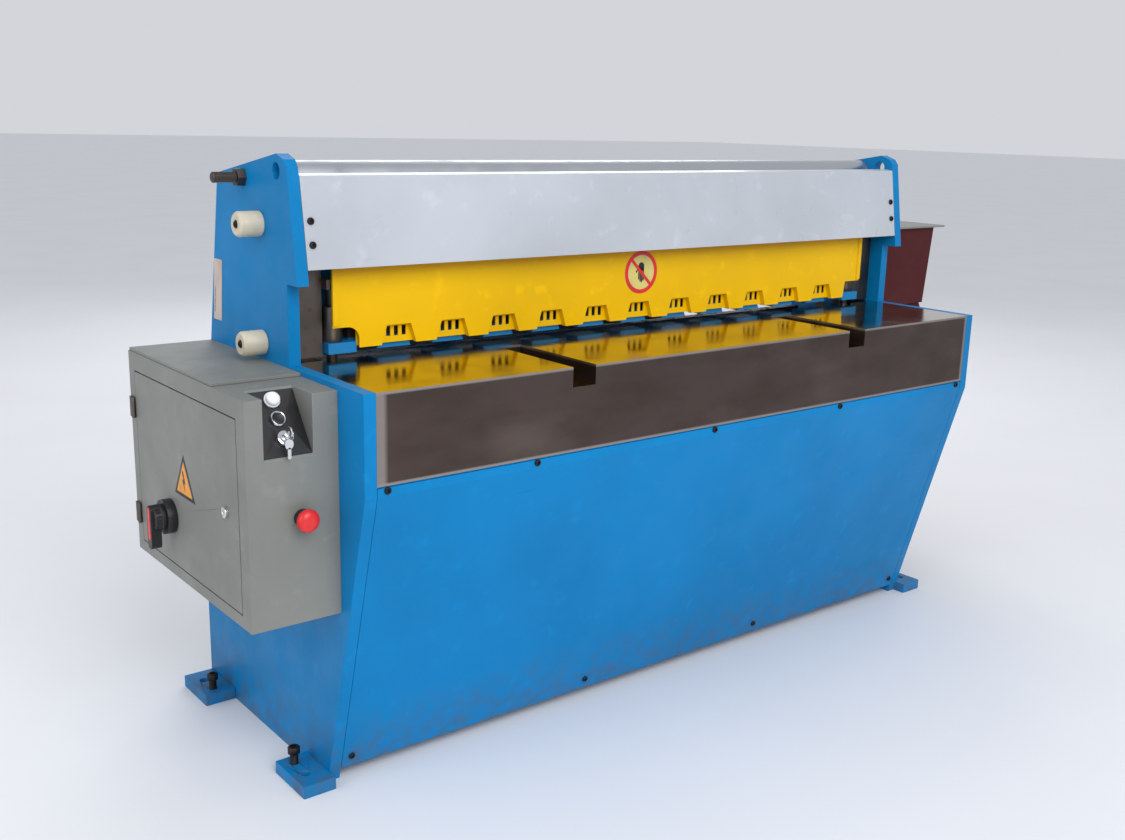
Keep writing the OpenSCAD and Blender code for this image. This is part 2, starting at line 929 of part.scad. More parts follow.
module gauge_bar() {
    y0 = gauge_y;
    color(steel) difference() {
        union() {
            box([-30, y0, screw_z - 22], [30, y0 + 40, screw_z + 22]);
            both_sides() {
                box([arm_x - 20, y0, arm_z1 + slide_gap], [arm_x + 20, y0 + 60, arm_z1 + 24]);
                box([380, y0 + 6, arm_z1 + 30], [410, y0 + 36, table_h + 20]);
            }
            box([-arm_x - 20, y0 + 6, arm_z1 + 20], [arm_x + 20, y0 + 36, arm_z1 + 40]);
            box([-720, y0, table_h + 2], [720, y0 + 10, table_h + 62]);
            box([-720, y0, table_h + 54], [720, y0 + 46, table_h + 62]);
        }
        rod_y(y0 - 1, 62, screw_d + 2 * fit, 0, screw_z);
    }
}

// ---------- cabinet ----------

module panel_holes() {
    for (u = [lamp_u, button_u, key_u])
        on_panel(u) translate([0, 0, -30]) cylinder(d = device_d, h = 40);
}

// the corner cut away above the control panel; grow adds the wall's thickness around it
module recess_wedge(grow) {
    clear = 5;
    back = grow / sin(panel_tilt);
    down = grow / cos(panel_tilt);
    rear = cab_y0 + panel_run + back;
    along_x(recess_x0 - grow, recess_w + 2 * grow) polygon([
        [cab_y0 - clear, panel_z - down], [cab_y0, panel_z - down], [rear, cab_z1],
        [rear, cab_z1 + clear], [cab_y0 - clear, cab_z1 + clear]
    ]);
}

module cabinet() {
    color(cabinet_grey) difference() {
        union() {
            difference() {
                box([cab_x0, cab_y0, cab_z0], [cab_x1, cab_y1, cab_z1]);
                box([cab_x0 + cab_t, cab_y0 + cab_t, cab_z0 + cab_t],
                    [cab_x1 - cab_t, cab_y1 - cab_t, cab_z1 - cab_t]);
            }
            intersection() {
                recess_wedge(cab_t);
                box([cab_x0, cab_y0, cab_z0], [cab_x1, cab_y1, cab_z1]);
            }
        }
        recess_wedge(0);
        box([cab_x0 - 1, door_y0 - 2, door_z0 - 2],
            [cab_x0 + cab_t + 1, door_y1 + 2, door_z1 + 2]);
        panel_holes();
        rod_y(cab_y0 - 1, 6, device_d, estop_x, estop_z);
    }
}

module cabinet_lid() {
    color(cabinet_grey) box([cab_x0 + 2, -182, cab_z1], [cab_x1, cab_y1 - 2, cab_z1 + 6]);
}

module door() {
    lip = 3;
    color(cabinet_grey) difference() {
        box([cab_x0, door_y0, door_z0], [cab_x0 + cab_t + lip, door_y1, door_z1]);
        box([cab_x0 + cab_t, door_y0 + 2, door_z0 + 2],
            [cab_x0 + cab_t + lip + 1, door_y1 - 2, door_z1 - 2]);
        rod_x(cab_x0 - 1, 10, 16 + 2 * fit, lock_y, lock_z);
        rod_x(cab_x0 - 1, 10, 12, isolator_y, isolator_z);
    }
}

module door_hinges() {
    color(dark_steel) for (z = [437, 649]) {
        translate([hinge_x, hinge_y, z - 20]) cylinder(d = 8, h = 40);
        box([hinge_x - 1, hinge_y + 1, z - 20], [cab_x0, hinge_y + 17, z + 20]);
    }
}

module door_lock() {
    color(bright) {
        rod_x(cab_x0 - 7, 7, 20, lock_y, lock_z);
        rod_x(cab_x0 - 1, 10, 16, lock_y, lock_z);
        box([cab_x0 + 7, lock_y - 8, lock_z - 60], [cab_x0 + 10, lock_y + 8, lock_z + 8]);
    }
}

module danger_sign() {
    color(yellow) along_x(cab_x0 - 0.8, 0.8) polygon([[-46, 607], [1, 527], [-93, 527]]);
}

module isolator_base() {
    color(black) {
        rod_x(cab_x0 - 18, 18, 65, isolator_y, isolator_z);
        rod_x(cab_x0 - 1, 24, 12, isolator_y, isolator_z);
    }
}

module isolator_handle() {
    x0 = cab_x0 - 42;
    color(black) {
        rod_x(x0, 23.7, 50, isolator_y, isolator_z);
        box([x0 - 2, isolator_y - 10, isolator_z - 58],
            [x0 + 18, isolator_y + 10, isolator_z + 26]);
    }
}

module control_plate() {
    color(black) difference() {
        on_panel(4) translate([-recess_w / 2 + 1, 0, 0]) cube([recess_w - 2, 120, 2]);
        panel_holes();
    }
}

module signal_lamp() {
    color(cream) on_panel(lamp_u) {
        translate([0, 0, -20]) cylinder(d = device_d, h = 22);
        translate([0, 0, 2]) cylinder(d = 28, h = 4);
        translate([0, 0, 6]) cylinder(d1 = 25, d2 = 19, h = 9);
    }
}

module button_ring() {
    color(bright) on_panel(button_u) difference() {
        union() {
            translate([0, 0, -24]) cylinder(d = device_d, h = 26);
            translate([0, 0, 2]) cylinder(d = 29, h = 7);
        }
        translate([0, 0, -19]) cylinder(d = 19, h = 40);
    }
}

module push_button() {
    color(black) on_panel(button_u) translate([0, 0, -14]) cylinder(d = 18.9, h = 24);
}

module key_switch() {
    color(bright) on_panel(key_u) difference() {
        union() {
            translate([0, 0, -24]) cylinder(d = device_d, h = 26);
            translate([0, 0, 2]) cylinder(d = 28, h = 8);
        }
        translate([0, 0, -12]) cylinder(d = 10, h = 40);
    }
}

module key() {
    color(bright) on_panel(key_u) {
        translate([0, 0, -10]) cylinder(d = 9.9, h = 19);
        translate([-1.5, -4, 6]) cube([3, 8, 18]);
        translate([-1.2, -10, 22]) cube([2.4, 20, 18]);
    }
}

module estop_base() {
    color(steel) {
        difference() {
            rod_y(cab_y0 - 10, 10, 30, estop_x, estop_z);
            rod_y(cab_y0 - 11, 12, 14 + 2 * fit, estop_x, estop_z);
        }
    }
}

module estop_head() {
    color(red) {
        rod_y(cab_y0 - 18, 26, 14, estop_x, estop_z);
        translate([estop_x, cab_y0 - 16, estop_z]) rotate([90, 0, 0])
            rotate_extrude() intersection() {
                translate([0, -10]) circle(r = 29);
                square([20, 19]);
            }
    }
}

module electrics() {
    x1 = cab_x1 - cab_t;
    color(steel) {
        box([x1 - 3, -220, 380], [x1, 190, 640]);
        for (y = [-190, -110, -30]) box([x1 - 83, y, 540], [x1 - 3, y + 56, 620]);
        box([x1 - 73, 70, 400], [x1 - 3, 170, 490]);
        for (i = [0:9]) box([x1 - 43, -200 + i * 14, 410], [x1 - 3, -188 + i * 14, 450]);
    }
}

left_frame();
right_frame();
feet();
jack_screws();
cross_beams();
table();
lower_blade();
front_panel();
front_cover();
top_cover();
socket_screws();
guard_front();
guard_inner();
guard_brackets();
safety_sign();
hold_down_beam();
hold_down_sleeves();
ram();
upper_blade();
front_gibs();
rear_gibs();
gib_caps();
tie_rod();
tie_rod_nuts();
side_label();
eccentric_shaft();
shaft_bushes();
left_block();
right_block();
bull_gear();
pinion_shaft();
flywheel();
motor();
motor_pulley();
motor_bracket();
belts();
drive_guard();
gear_cover();
guard_lid();
gauge_arms();
lead_screw();
handwheel();
gauge_bar();
cabinet();
cabinet_lid();
door();
door_hinges();
door_lock();
danger_sign();
isolator_base();
isolator_handle();
control_plate();
signal_lamp();
button_ring();
push_button();
key_switch();
key();
estop_base();
estop_head();
electrics();
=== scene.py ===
"""Looks of the guillotine shear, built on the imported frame. Metres, +X along the cut, +Z up."""

import json
import math

import bmesh
import bpy
import numpy as np
from mathutils import Matrix, Vector


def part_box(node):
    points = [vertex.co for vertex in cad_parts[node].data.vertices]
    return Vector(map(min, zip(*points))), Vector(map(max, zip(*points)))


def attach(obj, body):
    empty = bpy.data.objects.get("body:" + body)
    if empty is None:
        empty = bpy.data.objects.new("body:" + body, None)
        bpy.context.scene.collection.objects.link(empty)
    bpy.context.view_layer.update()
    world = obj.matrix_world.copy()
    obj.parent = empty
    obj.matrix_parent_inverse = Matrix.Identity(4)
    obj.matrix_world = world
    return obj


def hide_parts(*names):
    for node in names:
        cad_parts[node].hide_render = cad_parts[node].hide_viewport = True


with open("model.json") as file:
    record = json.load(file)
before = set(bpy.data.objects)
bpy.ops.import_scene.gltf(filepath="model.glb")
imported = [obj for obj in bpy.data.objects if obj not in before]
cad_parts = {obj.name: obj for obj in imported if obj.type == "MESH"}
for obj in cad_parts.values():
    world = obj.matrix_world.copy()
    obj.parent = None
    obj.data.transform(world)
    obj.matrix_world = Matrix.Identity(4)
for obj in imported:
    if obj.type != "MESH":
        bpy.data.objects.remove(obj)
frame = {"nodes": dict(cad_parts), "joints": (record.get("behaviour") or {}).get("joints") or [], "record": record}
NODES = frame["nodes"]
RECORD = frame["record"]
JOINTS = {j["name"]: j for j in frame["joints"]}
BODY_OF = {n: b for b, names in RECORD["behaviour"]["bodies"].items() for n in names}
SLOT_OF = {s["node"]: s["material_slot"] for s in RECORD["subparts"]}
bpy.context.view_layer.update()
X, Y, Z = Vector((1, 0, 0)), Vector((0, 1, 0)), Vector((0, 0, 1))
MM = 0.001


# ---------- camera, light and floor ----------

CAMERA_AT = Vector((-1.7913, -2.1156, 1.2038))
YAW, PITCH, ROLL = (math.radians(a) for a in (-38.48, -13.73, 1.43))
LENS_MM, SENSOR_MM = 39.19, 36.0


def add_camera():
    forward = Vector((-math.sin(YAW) * math.cos(PITCH), math.cos(YAW) * math.cos(PITCH),
                      math.sin(PITCH)))
    level = Vector((math.cos(YAW), math.sin(YAW), 0))
    above = level.cross(forward)
    right = level * math.cos(ROLL) + above * math.sin(ROLL)
    up = above * math.cos(ROLL) - level * math.sin(ROLL)
    data = bpy.data.cameras.new("camera")
    data.lens, data.sensor_width = LENS_MM, SENSOR_MM
    data.clip_end = 100
    camera = bpy.data.objects.new("camera", data)
    turn = Matrix((right, up, -forward)).transposed().to_4x4()
    camera.matrix_world = Matrix.Translation(CAMERA_AT) @ turn
    bpy.context.scene.collection.objects.link(camera)
    bpy.context.scene.camera = camera


def add_area_light(name, at, target, size, power):
    data = bpy.data.lights.new(name, "AREA")
    data.size, data.energy = size, power
    light = bpy.data.objects.new(name, data)
    light.location = at
    light.rotation_euler = (Vector(target) - Vector(at)).to_track_quat("-Z", "Y").to_euler()
    bpy.context.scene.collection.objects.link(light)


def add_lights():
    middle = (0, -0.1, 0.6)
    add_area_light("key_light", (-1.2, -4.2, 3.4), middle, 3.0, 150)
    add_area_light("fill_light", (-4.5, -0.5, 2.2), middle, 3.0, 40)
    add_area_light("back_light", (2.5, 3.6, 3.2), middle, 3.0, 70)
    world = bpy.data.worlds.new("studio")
    world.use_nodes = True
    world.node_tree.nodes["Background"].inputs["Color"].default_value = (0.93, 0.95, 1.0, 1)
    world.node_tree.nodes["Background"].inputs["Strength"].default_value = 0.70
    bpy.context.scene.world = world
    bpy.context.scene.view_settings.view_transform = "Standard"


# ---------- materials ----------


def srgb(r, g, b):
    def linear(c):
        c /= 255
        return c / 12.92 if c <= 0.04045 else ((c + 0.055) / 1.055) ** 2.4

    return (linear(r), linear(g), linear(b), 1)


class Shader:
    """One node material: a base, with noise in its colour, roughness and bump."""

    def __init__(self, name, color, rough, metal=0.0, coat=0.0):
        self.material = bpy.data.materials.new(name)
        self.material.use_nodes = True
        self.tree = self.material.node_tree
        self.bsdf = self.tree.nodes["Principled BSDF"]
        self.bsdf.inputs["Metallic"].default_value = metal
        self.bsdf.inputs["Coat Weight"].default_value = coat
        self.bsdf.inputs["Coat Roughness"].default_value = 0.12
        self.place = self.node("ShaderNodeTexCoord").outputs["Object"]
        self.color = None
        self.base = color
        self.rough = rough
        self.height = None

    def node(self, kind, **settings):
        n = self.tree.nodes.new(kind)
        for key, value in settings.items():
            setattr(n, key, value)
        return n

    def link(self, a, b):
        self.tree.links.new(a, b)

    def stretched(self, scale):
        mapping = self.node("ShaderNodeMapping")
        mapping.inputs["Scale"].default_value = scale
        self.link(self.place, mapping.inputs["Vector"])
        return mapping.outputs["Vector"]

    def noise(self, scale, detail=4, stretch=(1, 1, 1)):
        n = self.node("ShaderNodeTexNoise")
        n.inputs["Scale"].default_value = scale
        n.inputs["Detail"].default_value = detail
        self.link(self.stretched(stretch), n.inputs["Vector"])
        return n.outputs["Fac"]

    def remap(self, value, low, high, to_low=0.0, to_high=1.0):
        n = self.node("ShaderNodeMapRange")
        limits = {"From Min": low, "From Max": high, "To Min": to_low, "To Max": to_high}
        for key, number in limits.items():
            n.inputs[key].default_value = number
        self.link(value, n.inputs["Value"])
        return n.outputs["Result"]

    def math(self, operation, a, b):
        n = self.node("ShaderNodeMath", operation=operation)
        for socket, value in zip(n.inputs, (a, b)):
            if isinstance(value, (int, float)):
                socket.default_value = value
            else:
                self.link(value, socket)
        return n.outputs["Value"]

    def axis(self, letter, normal=False):
        split = self.node("ShaderNodeSeparateXYZ")
        source = self.node("ShaderNodeNewGeometry").outputs["Normal"] if normal else self.place
        self.link(source, split.inputs["Vector"])
        return split.outputs[letter]

    def tint(self, amount, color):
        """Mixes another colour over what is there, by amount."""
        mix = self.node("ShaderNodeMix", data_type="RGBA")
        self.link(amount, mix.inputs["Factor"])
        if self.color is None:
            mix.inputs[6].default_value = self.base
        else:
            self.link(self.color, mix.inputs[6])
        mix.inputs[7].default_value = color
        self.color = mix.outputs[2]

    def roughen(self, fac, low, high):
        self.link(self.remap(fac, 0.3, 0.7, low, high), self.bsdf.inputs["Roughness"])
        self.rough = None

    def bump(self, height, strength, distance):
        n = self.node("ShaderNodeBump")
        n.inputs["Strength"].default_value = strength
        n.inputs["Distance"].default_value = distance
        self.link(height, n.inputs["Height"])
        if self.height is not None:
            self.link(self.height, n.inputs["Normal"])
        self.height = n.outputs["Normal"]

    def done(self):
        self.link(self.color, self.bsdf.inputs["Base Color"])
        if self.rough is not None:
            self.bsdf.inputs["Roughness"].default_value = self.rough
        if self.height is not None:
            self.link(self.height, self.bsdf.inputs["Normal"])
        return self.material


def shade(color, factor):
    return tuple(c * factor for c in color[:3]) + (1,)


def paint(name, color, rough, coat=0.0, peel=0.10, wave=0.0, dirt=0.0, above=None,
          specular=0.5):
    """Enamel; above is (height it starts, height it is full, colour) of painted shade laid over the paint from
    that height up.
    """
    s = Shader(name, color, rough, coat=coat)
    s.bsdf.inputs["Specular IOR Level"].default_value = specular
    s.tint(s.remap(s.noise(2.2, 5), 0.42, 0.62), shade(color, 0.86))
    s.tint(s.remap(s.noise(26, 6), 0.60, 0.72, 0, 0.35), shade(color, 1.25))
    if dirt:
        low = s.remap(s.axis("Z"), 0.0, 0.16, 1, 0)
        patches = s.remap(s.noise(30, 8), 0.38, 0.66, 0, dirt)
        s.tint(s.math("MULTIPLY", low, patches), srgb(88, 80, 72))
    s.tint(s.remap(s.noise(9, 10, (1, 1, 9)), 0.70, 0.76, 0, 0.3), shade(color, 0.6))
    if above:
        s.tint(s.remap(s.axis("Z"), above[0], above[1]), above[2])
    s.roughen(s.noise(14, 5), rough - 0.08, rough + 0.12)
    if wave:
        s.bump(s.noise(2.6, 2), wave, 0.02)
    s.bump(s.noise(420, 2), peel, 0.0006)
    return s.done()


def metal(name, color, rough, brushed=(1, 1, 1), stain=0.5, metallic=1.0):
    s = Shader(name, color, rough, metal=metallic)
    s.tint(s.remap(s.noise(7, 8), 0.48, 0.68, 0, stain), shade(color, 0.45))
    s.tint(s.remap(s.noise(60, 8), 0.60, 0.75, 0, stain), srgb(92, 66, 44))
    s.roughen(s.noise(18, 6), rough - 0.1, rough + 0.16)
    s.bump(s.noise(240, 4, brushed), 0.16, 0.0004)
    return s.done()


def plastic(name, color, rough, grain=0.12):
    s = Shader(name, color, rough)
    s.tint(s.remap(s.noise(24, 6), 0.45, 0.68, 0, 0.6), shade(color, 0.72))
    s.roughen(s.noise(40, 5), rough - 0.08, rough + 0.12)
    s.bump(s.noise(700, 2), grain, 0.0003)
    return s.done()


def table_metal():
    """Polished on top, brown and oil-stained on the upright faces, ground bright at the edges."""
    s = Shader("table_steel", srgb(88, 76, 72), 0.4, metal=1.0)
    low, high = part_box("table")
    up = s.remap(s.axis("Z", normal=True), 0.5, 0.9)
    s.tint(s.remap(s.noise(5, 8, (1, 1, 3)), 0.42, 0.66, 0, 0.45), srgb(66, 55, 50))
    s.tint(s.remap(s.noise(3, 6, (1, 1, 2)), 0.54, 0.72, 0, 0.4), srgb(122, 110, 104))
    for edge, inside in ((high.z, -0.006), (low.z, 0.006)):
        near = s.remap(s.axis("Z"), edge + inside, edge + inside * 0.5, 0, 0.8)
        s.tint(near, srgb(170, 162, 156))
    for edge, inside in ((low.x, 0.022), (high.x, -0.010)):
        near = s.remap(s.axis("X"), edge + inside, edge + inside * 0.6, 0, 0.8)
        s.tint(near, srgb(158, 150, 146))
    s.tint(up, srgb(176, 166, 150))
    stains = s.remap(s.noise(8, 8), 0.52, 0.66, 0, 0.55)
    s.tint(s.math("MULTIPLY", up, stains), srgb(104, 88, 70))
    side_rough = s.remap(s.noise(11, 6), 0.3, 0.7, 0.30, 0.56)
    top_rough = s.remap(s.noise(9, 6), 0.3, 0.7, 0.07, 0.20)
    keep = s.math("MULTIPLY", side_rough, s.math("SUBTRACT", 1.0, up))
    s.link(s.math("ADD", keep, s.math("MULTIPLY", up, top_rough)), s.bsdf.inputs["Roughness"])
    s.rough = None
    s.bump(s.noise(160, 4, (0.05, 1, 1)), 0.05, 0.0004)
    return s.done()


BLUE = srgb(0, 124, 186)
PALE_GREY = srgb(184, 190, 198)
CABINET_GREY = srgb(126, 128, 123)
YELLOW = srgb(240, 190, 0)
MAROON = srgb(76, 26, 28)
CREAM = srgb(204, 194, 172)
# orange used as painted shade under the front cover, on the yellow guard
ORANGE_COVER_SHADE = srgb(206, 134, 0)
# dark brown used as painted shade on the hold-down beam, seen through the guard's slots
SLOT_SHADE_BROWN = srgb(52, 38, 32)
BLACK = srgb(26, 26, 29)
RED = srgb(222, 38, 40)


def build_materials():
    pad_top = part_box("hold_down_beam")[0].z + 0.020
    cover_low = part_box("front_cover")[0].z
    return {
        "blue_paint": paint("blue_paint", BLUE, 0.42, wave=0.18, dirt=0.55, specular=0.16),
        # the hold-down beam is dark brown above its pads: painted shade seen through the guard's slots
        "pad_paint": paint("pad_paint", BLUE, 0.4, above=(pad_top, pad_top + 0.004, SLOT_SHADE_BROWN)),
        "white_grey_paint": paint("white_grey_paint", PALE_GREY, 0.34, coat=0.2, wave=0.10),
        "cabinet_paint": paint("cabinet_paint", CABINET_GREY, 0.48, peel=0.35),
        # the yellow guard turns orange up towards the front cover's lower edge: painted shade under the cover
        "yellow_paint": paint("yellow_paint", YELLOW, 0.34, wave=0.06, specular=0.2,
                              above=(cover_low - 0.025, cover_low + 0.01, ORANGE_COVER_SHADE)),
        "maroon_paint": paint("maroon_paint", MAROON, 0.66, peel=0.3, wave=0.15, specular=0.2),
        "ground_steel": metal("ground_steel", srgb(170, 170, 172), 0.28, (1, 1, 0.06), 0.14),
        "dull_steel": metal("dull_steel", srgb(104, 98, 94), 0.44, stain=0.6),
        "table_steel": table_metal(),
        "rolled_steel": metal("rolled_steel", srgb(186, 189, 195), 0.36, (0.03, 1, 1), 0.0),
        "cast": metal("cast", srgb(86, 86, 90), 0.58, stain=0.5, metallic=0.75),
        "bronze": metal("bronze", srgb(176, 130, 66), 0.34, stain=0.4),
        "chrome": metal("chrome", srgb(212, 212, 216), 0.16, stain=0.08),
        "black_oxide": metal("black_oxide", srgb(36, 35, 36), 0.42, stain=0.3, metallic=0.6),
        "black_plastic": plastic("black_plastic", BLACK, 0.42),
        "red_plastic": plastic("red_plastic", RED, 0.34),
        "cream_plastic": plastic("cream_plastic", CREAM, 0.44),
        "lamp_lens": plastic("lamp_lens", srgb(232, 232, 236), 0.22, 0.05),
        "belt_rubber": plastic("belt_rubber", srgb(28, 28, 28), 0.75, 0.4),
        "label_film": plastic("label_film", srgb(206, 188, 176), 0.4, 0.05),
        "sign_yellow": plastic("sign_yellow", srgb(216, 204, 120), 0.36, 0.05),
        "sign_orange": plastic("sign_orange", srgb(232, 150, 20), 0.36, 0.05),
    }


# ---------- building pieces ----------


def basis(axis):
    """Two directions square to axis."""
    side = axis.cross(Z if abs(axis.z) < 0.9 else X).normalized()
    return side, axis.cross(side).normalized()


def add_piece(name, mesh, body, material, replaces=(), smooth=True, bevel=0.0):
    piece = bpy.data.objects.new(name, mesh)
    bpy.context.scene.collection.objects.link(piece)
    mesh.materials.append(material)
    for face in mesh.polygons:
        face.use_smooth = smooth
    if bevel:
        add_bevel(piece, bevel)
    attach(piece, body)
    if replaces:
        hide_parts(*replaces)
    return piece


def replace_node(name, bm, node, slot_name, mats, sharp_deg=38, bevel=0.0):
    """Adds a piece that takes a CAD node's place, on the same body."""
    mesh = to_mesh(name, bm, sharp_deg)
    return add_piece(name, mesh, BODY_OF[node], mats[slot_name], [node], bevel=bevel)


def add_bevel(piece, width):
    bevel = piece.modifiers.new("edge", "BEVEL")
    bevel.width, bevel.segments, bevel.limit_method = width, 2, "ANGLE"
    bevel.angle_limit = math.radians(35)
    bevel.harden_normals = True


def in_mm(profile):
    """A profile's (radius, height) points, given in millimetres."""
    return [(radius * MM, height * MM) for radius, height in profile]


def lathe(bm, at, axis, profile, steps):
    """Turns (radius, height) points round axis; one that ends where it began makes a ring."""
    axis = axis.normalized()
    side, other = basis(axis)
    closed = profile[0] == profile[-1]
    rings = []
    for radius, height in profile[:-1] if closed else profile:
        spot = at + axis * height
        if radius < 1e-6:
            rings.append([bm.verts.new(spot)])
            continue
        ring = []
        for i in range(steps):
            a = i * math.tau / steps
            spoke = (side * math.cos(a) + other * math.sin(a)) * radius
            ring.append(bm.verts.new(spot + spoke))
        rings.append(ring)
    if closed:
        rings.append(rings[0])
    for a, b in zip(rings, rings[1:]):
        for i in range(steps):
            j = (i + 1) % steps
            corners = [a[i % len(a)], a[j % len(a)], b[j % len(b)], b[i % len(b)]]
            corners = list(dict.fromkeys(corners))
            if len(corners) > 2:
                bm.faces.new(corners)
    for ring in () if closed else (rings[0], rings[-1]):
        if len(ring) > 2:
            bm.faces.new(ring)


def prism(bm, outline, depth):
    """Extrudes a loop of points by the vector depth."""
    a = [bm.verts.new(p) for p in outline]
    b = [bm.verts.new(p + depth) for p in outline]
    bm.faces.new(a)
    bm.faces.new(b)
    for i in range(len(a)):
        j = (i + 1) % len(a)
        bm.faces.new((a[i], a[j], b[j], b[i]))


def to_mesh(name, bm, sharp_deg=38):
    bmesh.ops.recalc_face_normals(bm, faces=bm.faces)
    for edge in bm.edges:
        if len(edge.link_faces) == 2 and edge.calc_face_angle(0) > math.radians(sharp_deg):
            edge.smooth = False
    mesh = bpy.data.meshes.new(name)
    bm.to_mesh(mesh)
    bm.free()
    return mesh


def solids(node):
    """A CAD node's separate solids: each one's corner points, and its area facing each way."""
    mesh = NODES[node].data
    keys = [tuple(round(c, 5) for c in v.co) for v in mesh.vertices]
    parent = {}

    def find(k):
        while parent.setdefault(k, k) != k:
            parent[k] = parent[parent[k]]
            k = parent[k]
        return k

    for face in mesh.polygons:
        first = find(keys[face.vertices[0]])
        for v in face.vertices[1:]:
            parent[find(keys[v])] = first
    groups = {}
    for face in mesh.polygons:
        group = groups.setdefault(find(keys[face.vertices[0]]), {"points": [], "facing": {}})
        group["points"] += [keys[v] for v in face.vertices]
        n = tuple(round(c, 2) for c in face.normal)
        group["facing"][n] = group["facing"].get(n, 0) + face.area
    return [(np.array(g["points"]), g["facing"]) for _, g in sorted(groups.items())]


def outward(points, facing):
    """The way a screw head looks: along its largest flats, away from the machine's middle."""
    middle = Vector((0, 0, 0.55))
    away = Vector(points.mean(0)) - middle
    best = sorted(facing.items(), key=lambda item: -item[1])[:2]
    pick = max(best, key=lambda item: Vector(item[0]).dot(away))
    return Vector(pick[0]).normalized()


def lowest_and_highest(points, axis):
    along = points @ np.array(axis)
    return float(along.min()), float(along.max())


def on_axis(points, axis):
    """The point on a turned solid's axis with zero height along it."""
    centre = Vector((points.min(0) + points.max(0)) / 2)
    return centre - axis * centre.dot(axis)


# ---------- turned and fastened pieces ----------


def socket_profile(head_r, base, top):
    """A button head with a round socket sunk in it, from under the head to its crown."""
    edge = head_r * 0.12
    hole = head_r * 0.46
    floor = top - head_r * 0.42
    return [(0, base), (head_r, base), (head_r, top - edge * 2), (head_r - edge, top - edge * 0.4),
            (head_r * 0.8, top), (hole, top), (hole * 0.94, floor), (0, floor)]


def build_screws(mats):
    bm = bmesh.new()
    head_r, head_h, shank_r = 6.5 * MM, 4 * MM, 4 * MM
    overlap = 0.1 * MM
    for points, facing in solids("socket_screws"):
        axis = outward(points, facing)
        low, high = lowest_and_highest(points, axis)
        spot = on_axis(points, axis)
        shank_top = high - head_h + overlap
        lathe(bm, spot, axis, socket_profile(head_r, high - head_h, high), 24)
        lathe(bm, spot, axis, [(0, low), (shank_r, low), (shank_r, shank_top), (0, shank_top)], 20)
    replace_node("screw_heads", bm, "socket_screws", "black_oxide", mats)


def build_gib_caps(mats):
    bm = bmesh.new()
    cap_len, stem_r = 46 * MM, 11 * MM
    chamfer, hole_depth = 1.5 * MM, 7 * MM
    for points, _ in solids("gib_caps"):
        axis = X if points[:, 0].mean() > 0 else -X
        low, high = lowest_and_highest(points, axis)
        cap_r = (points[:, 2].max() - points[:, 2].min()) / 2
        seat = high - cap_len
        hole_r = cap_r * 0.34
        profile = [
            (0, low), (stem_r, low), (stem_r, seat), (cap_r - chamfer, seat),
            (cap_r, seat + chamfer), (cap_r, high - 5 * MM), (cap_r - 1.2 * MM, high - 3 * MM),
            (cap_r - 4 * MM, high), (cap_r * 0.42, high), (hole_r, high - chamfer),
            (hole_r, high - hole_depth), (0, high - hole_depth),
        ]
        lathe(bm, on_axis(points, axis), axis, profile, 64)
    replace_node("nylon_caps", bm, "gib_caps", "cream_plastic", mats)


SHARP_THREAD = 60  # degrees; keeps the ridges of a thread shaded smooth


def thread(low, high, radius, pitch, depth):
    """Profile of a round bar with thread ridges between low and high."""
    profile, at = [], low
    while at + pitch <= high:
        profile += [(radius - depth, at), (radius, at + pitch / 2)]
        at += pitch
    return profile + [(radius - depth, high)]


def build_tie_rod(mats):
    low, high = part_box("tie_rod")
    centre = (low + high) / 2
    radius = (high.z - low.z) / 2
    threaded, chamfer = 75 * MM, 2 * MM
    pitch, depth = 2.5 * MM, 1.1 * MM
    bm = bmesh.new()
    profile = [(0, low.x), (radius * 0.8, low.x), (radius, low.x + chamfer)]
    profile += thread(low.x + chamfer, low.x + threaded, radius, pitch, depth)
    profile += [(radius, low.x + threaded + MM), (radius, high.x - threaded - MM)]
    profile += thread(high.x - threaded, high.x - chamfer, radius, pitch, depth)
    profile += [(radius * 0.8, high.x), (0, high.x)]
    lathe(bm, Vector((0, centre.y, centre.z)), X, profile, 32)
    replace_node("tie_rod_threaded", bm, "tie_rod", "dull_steel", mats, SHARP_THREAD)


def build_jack_screws(mats):
    bm = bmesh.new()
    head_h, socket_depth, chamfer = 14 * MM, 6 * MM, 2 * MM
    pitch, depth = 2 * MM, 0.9 * MM
    for points, _ in solids("jack_screws"):
        low, high = lowest_and_highest(points, Z)
        head_r = (points[:, 0].max() - points[:, 0].min()) / 2
        stem_r = head_r * 0.69
        neck = high - head_h
        socket_floor = high - socket_depth
        profile = [(0, low), (stem_r - 1.5 * MM, low)]
        profile += thread(low + MM, neck, stem_r, pitch, depth)
        profile += [(head_r - MM, neck), (head_r, neck + MM), (head_r, high - chamfer),
                    (head_r - chamfer, high), (head_r * 0.5, high),
                    (head_r * 0.45, socket_floor), (0, socket_floor)]
        lathe(bm, on_axis(points, Z), Z, profile, 32)
    replace_node("levelling_screws", bm, "jack_screws", "black_oxide", mats, SHARP_THREAD)


# ---------- control cabinet ----------

PANEL_AXIS = Vector(JOINTS["key_turn"]["axis"]).normalized()
PANEL_AT = Vector(JOINTS["key_turn"]["pos_m"])


def panel_spot(node):
    """Where a device's axis crosses the control panel's face."""
    low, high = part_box(node)
    offset = (low + high) / 2 - PANEL_AT
    return PANEL_AT + offset - PANEL_AXIS * offset.dot(PANEL_AXIS)


def turned(name, node, profile, slot_name, mats, at=None, axis=PANEL_AXIS):
    """One turned device in a CAD node's place, by default on the control panel."""
    bm = bmesh.new()
    lathe(bm, at or panel_spot(node), axis, in_mm(profile), 64)
    replace_node(name, bm, node, slot_name, mats)


